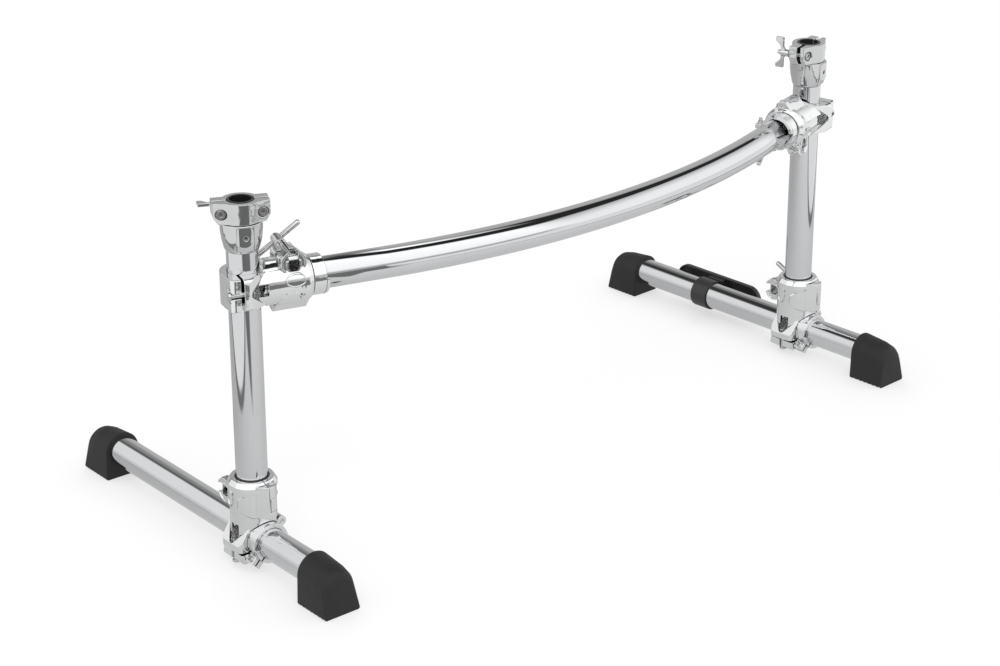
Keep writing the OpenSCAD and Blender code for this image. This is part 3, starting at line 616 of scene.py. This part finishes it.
@dataclass
class BaseLeg:
    """A base tube with its two rubber feet, its lock ring and the lock's screw.

    The lip lists distances from a foot's inner end and how far its outline is drawn in there,
    towards middle_z.
    """

    side: Side
    foot_len: float = 54.8
    foot_w: float = 49.8
    foot_wall: float = 5.0
    foot_bore: float = 30.0
    tread_pitch: float = 7.4
    tread_w: float = 3.2
    tread_d: float = 2.4
    tread_below: float = 2.0
    tread_margin: float = 3.0
    cutter_w: float = 100.0
    sole_corner: float = 2.5
    middle_z: float = 26.0
    bore_slack: float = 0.2
    lip: Tuple[Tuple[float, float], ...] = ((0.0, 0.9), (0.3, 0.27), (0.9, 0.0), (2.0, 0.0))
    around: int = 96
    stations: int = 22
    crowding: float = 0.8

    def sections(self) -> List[Section]:
        """Foot sections: distance from the inner end, arch centre, arch radius, half width.

        The top falls towards the outer end and rounds off there.
        """
        arch = PLAN.tube_r + self.foot_wall
        high, half = PLAN.base_height, self.foot_w / 2
        return [(0.0, high, arch, half),
                (self.foot_len * 0.6, high - 2.6, arch - 0.6, half),
                (self.foot_len * 0.84, high - 4.6, arch - 2.0, half),
                (self.foot_len - 2.6, high - 7.5, arch - 4.6, half - 0.2),
                (self.foot_len, 8.0, 5.0, half - 0.2)]

    def reach(self, section: Section, turn: float) -> Vector:
        """Outermost point of a section's outline in one direction.

        Args:
            section: one of sections().
            turn: direction in radians, 0 to the side and a quarter turn up.

        Returns:
            (x, z) in mm as a vector.
        """
        _, high, arch, half = section
        way = Vector((math.cos(turn), math.sin(turn)))
        rounds = [(Vector((0.0, high)), arch)]
        corner = self.sole_corner
        rounds += [(Vector((side * (half - corner), corner)), corner) for side in (-1, 1)]
        centre, radius = max(rounds, key=lambda part: part[0].dot(way) + part[1])
        return centre + way * radius

    def foot_mesh(self) -> bmesh.types.BMesh:
        """Foot seen from its inner end, running along +Y and standing on Z 0.

        Returns:
            The closed mesh in metres.
        """
        bm = bmesh.new()
        sections = self.sections()
        turns = [TAU * (i + 0.5) / self.around for i in range(self.around)]
        outlines = [[self.reach(s, t) for t in turns] for s in sections]

        def outline(at: float) -> List[Vector]:
            """Points of the outline at a distance, between the nearest two sections."""
            last = len(sections) - 2
            k = next((i for i in range(last) if at <= sections[i + 1][0]), last)
            low, high = sections[k][0], sections[k + 1][0]
            share = (at - low) / (high - low)
            return [p.lerp(q, share) for p, q in zip(outlines[k], outlines[k + 1])]

        ring = bmesh.ops.create_circle(bm, cap_ends=False, segments=self.around,
                                       radius=PLAN.tube_r * MM)["verts"]
        order = sorted(ring, key=lambda v: math.atan2(v.co.y, v.co.x) % TAU)
        first = dict(zip(order, turns))
        edges = list(bm.edges)
        done = self.lip[-1][0]
        marks = list(self.lip)
        marks += [(done + (self.foot_len - done) * (i / self.stations) ** self.crowding, 0.0)
                  for i in range(1, self.stations + 1)]
        middle = Vector((0.0, self.middle_z))
        for place, (at, inset) in enumerate(marks):
            if place:
                drawn = bmesh.ops.extrude_edge_only(bm, edges=edges)["geom"]
                edges = [e for e in drawn if isinstance(e, bmesh.types.BMEdge)
                         and len(e.link_faces) == 1]
                fresh = {v for e in edges for v in e.verts}
                order = [self._partner(v, fresh) for v in order]
            for vert, point in zip(order, outline(at)):
                away = point - middle
                point = middle + away * (1.0 - inset / away.length)
                vert.co = (point.x * MM, at * MM, max(point.y, 0.0) * MM)
        bmesh.ops.holes_fill(bm, edges=edges, sides=0)
        rim = [e for e in bm.edges if len(e.link_faces) == 1]
        drawn = bmesh.ops.extrude_edge_only(bm, edges=rim)["geom"]
        for vert in {v for v in drawn if isinstance(v, bmesh.types.BMVert)}:
            turn = first[self._partner(vert, set(first))]
            vert.co = (PLAN.tube_r * MM * math.cos(turn), 0.0,
                       PLAN.base_height * MM + PLAN.tube_r * MM * math.sin(turn))
        rim = [e for e in bm.edges if len(e.link_faces) == 1]
        drawn = bmesh.ops.extrude_edge_only(bm, edges=rim)["geom"]
        deep = [v for v in drawn if isinstance(v, bmesh.types.BMVert)]
        bmesh.ops.translate(bm, vec=(0, self.foot_bore * MM, 0), verts=deep)
        rim = [e for e in bm.edges if len(e.link_faces) == 1]
        bmesh.ops.holes_fill(bm, edges=rim, sides=0)
        bmesh.ops.recalc_face_normals(bm, faces=bm.faces)
        return bm

    @staticmethod
    def _partner(vert: bmesh.types.BMVert, among: set) -> bmesh.types.BMVert:
        """The vertex of a set that an edge joins to this one."""
        for edge in vert.link_edges:
            other = edge.other_vert(vert)
            if other in among:
                return other
        return vert

    def tread_cutter(self) -> bpy.types.Object:
        """Row of bars that cuts the tread, as a loose object that is removed after use.

        Returns:
            The cutter object.
        """
        bm = bmesh.new()
        at = self.tread_pitch
        while at <= self.foot_len - self.tread_margin:
            made = bmesh.ops.create_cube(bm, size=1.0)["verts"]
            size = Matrix.Diagonal((self.cutter_w * MM, self.tread_w * MM,
                                    (self.tread_d + self.tread_below) * MM, 1.0))
            place = Matrix.Translation((0, at * MM, (self.tread_d - self.tread_below) / 2 * MM))
            bmesh.ops.transform(bm, matrix=place @ size, verts=made)
            at += self.tread_pitch
        mesh = bpy.data.meshes.new("tread_cutter")
        bm.to_mesh(mesh)
        bm.free()
        cutter = bpy.data.objects.new("tread_cutter", mesh)
        bpy.context.scene.collection.objects.link(cutter)
        return cutter

    def build_foot(self, name: str, place: Matrix) -> None:
        """Cuts the tread into one foot and puts it on its tube.

        Args:
            name: the CAD node that it stands for.
            place: from the foot's own frame to the shared frame.
        """
        bm = self.foot_mesh()
        mesh = bpy.data.meshes.new("foot_blank")
        bm.to_mesh(mesh)
        bm.free()
        blank = bpy.data.objects.new("foot_blank", mesh)
        bpy.context.scene.collection.objects.link(blank)
        cutter = self.tread_cutter()
        cut = blank.modifiers.new("tread", "BOOLEAN")
        cut.operation, cut.solver, cut.object = "DIFFERENCE", "EXACT", cutter
        bpy.context.view_layer.update()
        shaped = blank.evaluated_get(bpy.context.evaluated_depsgraph_get()).to_mesh()
        bm = bmesh.new()
        bm.from_mesh(shaped)
        for thing in (blank, cutter):
            bpy.data.objects.remove(thing)
        bmesh.ops.remove_doubles(bm, verts=bm.verts, dist=WELD)
        bmesh.ops.transform(bm, matrix=place, verts=bm.verts)
        finish_piece(f"{name}_moulded", bm, FOOT_RUBBER, f"{self.side.value}_base", [name],
                     smooth=38.0)

    def build(self) -> None:
        """Builds the tube, both feet and the lock."""
        name = self.side.value
        body = f"{name}_base"
        base = PLAN.base_frame(self.side)
        along = base @ Matrix.Rotation(-math.pi / 2, 4, "X")
        start = -PLAN.front_reach + self.foot_len - self.foot_bore + self.bore_slack
        end = PLAN.rear_reach - self.foot_len + self.foot_bore - self.bore_slack
        finish_piece(f"{name}_base_pipe", tube_mesh(along, start, end, PLAN.tube_r,
                                                    PLAN.tube_wall),
                     TUBE_CHROME, body, [f"{name}_base_tube"])
        down = Matrix.Translation((0, 0, -PLAN.base_height * MM))
        front = base @ Matrix.Translation((0, (self.foot_len - PLAN.front_reach) * MM, 0)) @ down
        rear = base @ Matrix.Translation((0, (PLAN.rear_reach - self.foot_len) * MM, 0)) @ down
        self.build_foot(f"{name}_front_foot", front @ Matrix.Rotation(math.pi, 4, "Z"))
        self.build_foot(f"{name}_rear_foot", rear)
        CadSolid(f"{name}_base_lock", body, CAST_CHROME, roll=0.6).build()
        CadSolid(f"{name}_lock_screw", body, BOLT_STEEL, roll=0.3).build()


@dataclass
class HingedClamp:
    """One hinged tube clamp with its liner, swing bolt and T-handle.

    A leg clamp has its own pins and jaw bolt; those of the bar clamps are shared hardware.
    """

    side: Side
    kind: str
    badge_at: float = 54.5
    badge_long: float = 12.0
    badge_wide: float = 7.0
    badge_bead: float = 0.8
    badge_reach: float = 29.0

    @property
    def stem(self) -> str:
        """Start of the clamp's node names."""
        return f"{self.side.value}_{self.kind}"

    @property
    def body(self) -> str:
        """The body that the casting belongs to."""
        return "crossbar" if self.kind == "bar" else f"{self.side.value}_leg_clamp"

    def frame(self) -> Matrix:
        """The clamp's own frame."""
        return PLAN.bar_frame(self.side) if self.kind == "bar" else PLAN.leg_frame(self.side)

    def build(self) -> None:
        """Dresses the castings and the hardware, and adds the blank badge's rim."""
        for part in ("clamp_body", "clamp_gate", "clamp_jaw"):
            CadSolid(f"{self.stem}_{part}", self.body, CAST_CHROME, roll=0.7).build()
        CadSolid(f"{self.stem}_liner", self.body, SOCKET_NYLON, roll=0.2, segments=1).build()
        CadSolid(f"{self.stem}_swing_bolt", f"{self.stem}_swing", BOLT_STEEL, roll=0.3).build()
        CadSolid(f"{self.stem}_t_handle", f"{self.stem}_handle", DARK_CHROME, roll=0.6).build()
        if self.kind == "leg":
            CadSolid(f"{self.stem}_clamp_pins", self.body, BOLT_STEEL, roll=0.3).build()
            CadSolid(f"{self.stem}_jaw_bolt", self.body, BOLT_STEEL, roll=0.4).build()
        self.badge_rim()

    def badge_rim(self) -> None:
        """Raised rim of the blank oval badge on the body's shell."""
        bm = bmesh.new()
        bmesh.ops.create_circle(bm, cap_ends=False, segments=10, radius=self.badge_bead * MM)
        bmesh.ops.transform(bm, matrix=Matrix.Translation((self.badge_long * MM, 0, 0))
                            @ Matrix.Rotation(math.pi / 2, 4, "X"), verts=bm.verts)
        bmesh.ops.spin(bm, geom=list(bm.verts) + list(bm.edges), cent=(0, 0, 0), axis=(0, 0, 1),
                       angle=TAU, steps=72, use_merge=True)
        bmesh.ops.recalc_face_normals(bm, faces=bm.faces)
        for vert in bm.verts:
            across = vert.co.y / MM * self.badge_wide / self.badge_long + self.badge_wide
            lift = vert.co.z / MM + self.badge_reach
            turn = across / self.badge_reach
            vert.co = ((self.badge_at + vert.co.x / MM) * MM, -lift * math.cos(turn) * MM,
                       lift * math.sin(turn) * MM)
        bmesh.ops.transform(bm, matrix=self.frame(), verts=bm.verts)
        bmesh.ops.recalc_face_normals(bm, faces=bm.faces)
        finish_piece(f"{self.stem}_badge_rim", bm, CAST_CHROME, self.body)


@dataclass
class Receiver:
    """The tube receiver on top of one upright."""

    side: Side

    def build(self) -> None:
        """Dresses the castings, the bushing, the bolts, the wing nut and the set screw."""
        name = self.side.value
        body = f"{name}_receiver"
        CadSolid(f"{name}_receiver_body", body, SHADED_HEAD_CHROME, roll=0.9, segments=3).build()
        CadSolid(f"{name}_receiver_jaw", body, SHADED_HEAD_CHROME, roll=0.9, segments=3).build()
        CadSolid(f"{name}_receiver_bushing", body, SOCKET_NYLON, roll=0.4).build()
        CadSolid(f"{name}_receiver_bolts", body, BOLT_STEEL, roll=0.4).build()
        CadSolid(f"{name}_set_screw", body, BOLT_STEEL, roll=0.2).build()
        CadSolid(f"{name}_wing_nut", f"{name}_wing", DARK_CHROME, roll=0.9, segments=3).build()


def dress_shared_hardware() -> None:
    """Dresses what the cross tube's two clamps share, their lock rings and the plastic clip."""
    for side in Side:
        CadSolid(f"{side.value}_bar_lock", "crossbar", CAST_CHROME, roll=0.6).build()
    for node in ("bar_clamp_pins", "bar_jaw_bolts", "bar_lock_screws"):
        CadSolid(node, "crossbar", BOLT_STEEL, roll=0.3).build()
    CadSolid("tube_clip", "right_base", CLIP_PLASTIC, roll=0.8, segments=3).build()


# ---- studio

WHITE = (1.0, 1.0, 1.0, 1.0)
SENSOR = 36.0  # mm

# Soft boxes and dark gaps round the frame as polished metal sees them: stops of (place,
# strength), where the place goes round a half circle, or across the box at the right side.
FRONT_BOXES = ((0.0, 0.55), (0.02, 0.6), (0.05, 1.45), (0.30, 1.65), (0.335, 0.03), (0.47, 0.02),
               (0.50, 0.30), (0.75, 0.36), (1.0, 0.55))
FRONT_STRIP = ((0.0, 0.0), (0.475, 0.0), (0.495, 1.8), (0.585, 1.8), (0.61, 0.0))
REAR_BOXES = ((0.0, 0.75), (0.05, 0.88), (0.12, 1.08), (0.54, 1.08), (0.60, 0.10), (0.68, 0.16),
              (0.74, 0.42), (1.0, 0.5))
SIDE_BOX = ((0.05, 1.35), (0.25, 1.3), (0.325, 1.1), (0.40, 0.88), (0.45, 0.76), (0.468, 0.70),
            (0.50, 0.03), (1.0, 0.03))

# A direction's place among the front and rear boxes is its angle about a point set back from the
# eye, with the level part and the rise each measured by its own reach.
DIAGONAL = 0.7071
BOX_SETBACK, BOX_REACH, BOX_RISE = 0.465, 0.53, 0.75

# Lamps: name, place and size in metres, share of the key lamp's power.
LAMPS = (("key_lamp", (-1.9, -2.3, 3.0), 2.4, 1.0), ("back_lamp", (1.6, 2.6, 2.6), 2.0, 0.45))
LAMP_TARGET = (0, 0, 0.15)


@dataclass
class Studio:
    """Plain pale floor, soft light and the camera of the photograph.

    The eye is in mm; focal length, centre row, width and height are in the photo's pixels.
    """

    focal_px: float = 2394.46
    azimuth: float = -41.67
    elevation: float = 21.06
    roll: float = -0.10
    eye: Tuple[float, float, float] = (-1961.94, -2192.63, 1368.95)
    centre_row: float = 260.0
    width: float = 1000.0
    height: float = 666.0
    floor_size: float = 30.0
    floor_drop: float = 0.0003
    floor_paint: float = 0.86
    floor_to_eye: float = 0.45
    floor_to_metal: float = 0.8
    floor_glow: float = 1.26
    sky: float = 0.78
    key_watts: float = 34.0

    def camera(self) -> None:
        """Creates the camera and makes it the scene's own."""
        data = bpy.data.cameras.new("photo_camera")
        data.sensor_width = SENSOR
        data.lens = self.focal_px / self.width * SENSOR
        data.shift_y = (self.centre_row - self.height / 2) / self.width
        data.clip_start, data.clip_end = 0.05, 60.0
        cam = bpy.data.objects.new("photo_camera", data)
        bpy.context.scene.collection.objects.link(cam)
        a, e = math.radians(self.azimuth), math.radians(self.elevation)
        back = Vector((math.sin(a) * math.cos(e), -math.cos(a) * math.cos(e), math.sin(e)))
        turn = (-back).to_track_quat("-Z", "Y").to_matrix().to_4x4()
        cam.matrix_world = (Matrix.Translation(Vector(self.eye) * MM) @ turn
                            @ Matrix.Rotation(math.radians(self.roll), 4, "Z"))
        bpy.context.scene.camera = cam

    def floor(self) -> None:
        """Large pale floor: white to the eye, cards to the metal, and it keeps the shadow."""
        bm = bmesh.new()
        bmesh.ops.create_grid(bm, x_segments=1, y_segments=1, size=self.floor_size / 2)
        bmesh.ops.translate(bm, vec=(0, 0, -self.floor_drop), verts=bm.verts)
        mesh = bpy.data.meshes.new("studio_floor")
        bm.to_mesh(mesh)
        bm.free()
        floor = bpy.data.objects.new("studio_floor", mesh)
        bpy.context.scene.collection.objects.link(floor)
        made = bpy.data.materials.new("studio_floor")
        made.use_nodes = True
        tree = made.node_tree
        tree.nodes.clear()
        sheet = NodeSheet(tree)
        path = sheet.add("ShaderNodeLightPath")
        eye = path.outputs["Is Camera Ray"]
        shiny = sheet.math("MAXIMUM", path.outputs["Is Glossy Ray"],
                           path.outputs["Is Transmission Ray"])
        share = sheet.math("ADD", sheet.math("MULTIPLY", eye, self.floor_to_eye),
                           sheet.math("MULTIPLY", shiny, self.floor_to_metal))
        paint = sheet.add("ShaderNodeBsdfDiffuse", None, Color=(*[self.floor_paint] * 3, 1.0))
        level = sheet.mix(eye, self._cards(sheet), self.floor_glow)
        glow = sheet.add("ShaderNodeEmission", None, Color=WHITE, Strength=level)
        mixed = sheet.add("ShaderNodeMixShader", None, i0=share, i1=paint.outputs[0],
                          i2=glow.outputs[0])
        output = sheet.add("ShaderNodeOutputMaterial")
        tree.links.new(mixed.outputs[0], output.inputs["Surface"])
        mesh.materials.append(made)

    @staticmethod
    def _cards(sheet: NodeSheet) -> bpy.types.NodeSocket:
        """Level of the floor as polished metal sees it: white cards with dark rims, dark cards.

        Args:
            sheet: where it is placed.

        Returns:
            The level's socket.
        """
        place = sheet.add("ShaderNodeNewGeometry").outputs["Position"]
        x, y, _ = sheet.add("ShaderNodeSeparateXYZ", None, i0=place).outputs

        def soft(value: bpy.types.NodeSocket, low: float, high: float, start: float,
                 end: float) -> bpy.types.NodeSocket:
            """Level that eases from start to end while the value goes from low to high."""
            return sheet.add("ShaderNodeMapRange", {"interpolation_type": "SMOOTHSTEP"},
                             Value=value, From_Min=low, From_Max=high, To_Min=start,
                             To_Max=end).outputs[0]

        # the floor dims to the back; white cards on the left and front right have dark rims
        total = soft(y, -0.9, 0.7, 0.95, 0.52)
        aside = sheet.math("SUBTRACT", sheet.math("MULTIPLY", x, 0.67),
                           sheet.math("MULTIPLY", y, 0.74))
        for run, edge in ((sheet.math("MULTIPLY", x, -1.0), 0.98), (aside, 0.96)):
            total = sheet.math("MAXIMUM", total, soft(run, edge, edge + 0.05, 0.0, 1.15))
            off = sheet.math("ABSOLUTE", sheet.math("SUBTRACT", run, edge))
            total = sheet.math("MULTIPLY", total, soft(off, 0.015, 0.05, 0.1, 1.0))
        # two dark cards at the front left, the first one cut off by a slanting line
        line = sheet.math("SUBTRACT", sheet.math("MULTIPLY", x, 0.6),
                          sheet.math("ADD", y, 0.138))
        card = sheet.math("MULTIPLY", soft(x, -0.64, -0.48, 1.0, 0.0),
                          soft(line, 0.0, 0.14, 0.0, 1.0))
        near = sheet.math("MULTIPLY", soft(y, -1.02, -0.95, 1.0, 0.0),
                          soft(x, -0.3, -0.1, 1.0, 0.0))
        near = sheet.math("MULTIPLY", near, soft(x, -1.75, -1.6, 0.0, 1.0))
        card = sheet.math("MAXIMUM", card, near)
        return sheet.math("MULTIPLY", total, soft(card, 0.0, 1.0, 1.0, 0.06))

    def world(self) -> None:
        """Even pale surround; mirrors see it as soft boxes with dark gaps between them."""
        world = bpy.data.worlds.new("studio")
        bpy.context.scene.world = world
        world.use_nodes = True
        tree = world.node_tree
        tree.nodes.clear()
        sheet = NodeSheet(tree)
        path = sheet.add("ShaderNodeLightPath")
        shiny = sheet.math("MAXIMUM", path.outputs["Is Glossy Ray"],
                           path.outputs["Is Transmission Ray"])
        plain = sheet.mix(shiny, self.sky, self._boxes(sheet))
        seen = sheet.mix(path.outputs["Is Camera Ray"], plain, 1.0)
        light = sheet.add("ShaderNodeBackground", None, Color=WHITE, Strength=seen)
        output = sheet.add("ShaderNodeOutputWorld")
        tree.links.new(light.outputs[0], output.inputs["Surface"])

    def _boxes(self, sheet: NodeSheet) -> bpy.types.NodeSocket:
        """Level of the surround as metal sees it: boxes in front, behind and at the right side.

        Args:
            sheet: where it is placed.

        Returns:
            The level's socket.
        """
        way = sheet.add("ShaderNodeTexCoord").outputs["Generated"]
        x, y, z = sheet.add("ShaderNodeSeparateXYZ", None, i0=way).outputs

        def step(value: bpy.types.NodeSocket, low: float, high: float, start: float = 0.0,
                 end: float = 1.0) -> bpy.types.NodeSocket:
            """Level that goes from start to end while the value goes from low to high."""
            return sheet.add("ShaderNodeMapRange", None, Value=value, From_Min=low,
                             From_Max=high, To_Min=start, To_Max=end).outputs[0]

        # the turn runs from the front left over the top to the back right, 0 to 1
        front = sheet.math("MULTIPLY", sheet.math("ADD", x, y), -DIAGONAL)
        level = sheet.math("DIVIDE", sheet.math("ADD", front, BOX_SETBACK), BOX_REACH)
        rise = sheet.math("DIVIDE", z, BOX_RISE)
        turn = sheet.math("DIVIDE", sheet.math("ARCTAN2", rise, level), math.pi)
        strip = sheet.math("MULTIPLY", self._ramp(sheet, turn, FRONT_STRIP), step(x, 0.15, 0.45))
        banded = sheet.math("MAXIMUM", self._ramp(sheet, turn, FRONT_BOXES), strip)
        # the rear boxes are seen behind and to the left, and end below the top
        rear = sheet.math("MULTIPLY", self._ramp(sheet, turn, REAR_BOXES),
                          step(z, 0.69, 0.76, 1.0, 0.05))
        behind = sheet.math("MULTIPLY", step(x, 0.10, 0.40, 1.0, 0.0), step(y, 0.35, 0.50))
        banded = sheet.mix(behind, banded, rear)
        return sheet.mix(step(x, 0.47, 0.57), banded, self._side_box(sheet, x, y))

    def _side_box(self, sheet: NodeSheet, x: bpy.types.NodeSocket,
                  y: bpy.types.NodeSocket) -> bpy.types.NodeSocket:
        """Level of the right side as metal sees it: a box, a dark gap leaning aside, a grey wall.

        Args:
            sheet: where it is placed.
            x: the direction's X.
            y: the direction's Y.

        Returns:
            The level's socket.
        """
        lean = sheet.math("MULTIPLY", sheet.math("SUBTRACT", x, 0.72), -0.8)
        lean = sheet.math("ADD", sheet.math("MULTIPLY", y, 0.5), sheet.math("ADD", lean, 0.5))
        box = self._ramp(sheet, lean, SIDE_BOX)
        wall = sheet.add("ShaderNodeMapRange", {"interpolation_type": "SMOOTHSTEP"}, Value=y,
                         From_Min=0.32, From_Max=0.47, To_Min=0.0, To_Max=0.6)
        return sheet.math("MAXIMUM", box, wall.outputs[0])

    @staticmethod
    def _ramp(sheet: NodeSheet, value: bpy.types.NodeSocket,
              stops: Sequence[Tuple[float, float]]) -> bpy.types.NodeSocket:
        """Grey value that follows stops.

        Args:
            sheet: where it is placed.
            value: what it is read at.
            stops: places and strengths in order.

        Returns:
            The value's socket.
        """
        node = sheet.add("ShaderNodeValToRGB", None, i0=value)
        ramp = node.color_ramp
        while len(ramp.elements) < len(stops):
            ramp.elements.new(0.5)
        for element, (place, strength) in zip(ramp.elements, stops):
            element.position = place
            element.color = (strength, strength, strength, 1.0)
        return node.outputs[0]

    def lamps(self) -> None:
        """One large soft lamp in front and one behind."""
        for name, place, size, share in LAMPS:
            data = bpy.data.lights.new(name, "AREA")
            data.size, data.energy = size, self.key_watts * share
            lamp = bpy.data.objects.new(name, data)
            lamp.visible_glossy = False
            bpy.context.scene.collection.objects.link(lamp)
            lamp.matrix_world = (Matrix.Translation(place)
                                 @ (Vector(LAMP_TARGET) - Vector(place)).to_track_quat(
                                     "-Z", "Y").to_matrix().to_4x4())

    def build(self) -> None:
        """Sets up camera, floor, world, lamps and the view transform."""
        self.camera()
        self.floor()
        self.world()
        self.lamps()
        bpy.context.scene.view_settings.view_transform = "Standard"


def main() -> None:
    """Builds the studio and every sub-assembly in order."""
    logging.basicConfig(level=logging.INFO, format="%(message)s")
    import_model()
    Studio().build()
    CrossTube().build()
    for side in Side:
        for kind in ("bar", "leg"):
            HingedClamp(side, kind).build()
        Upright(side).build()
        Receiver(side).build()
        BaseLeg(side).build()
    dress_shared_hardware()


if __name__ == "__main__":
    main()
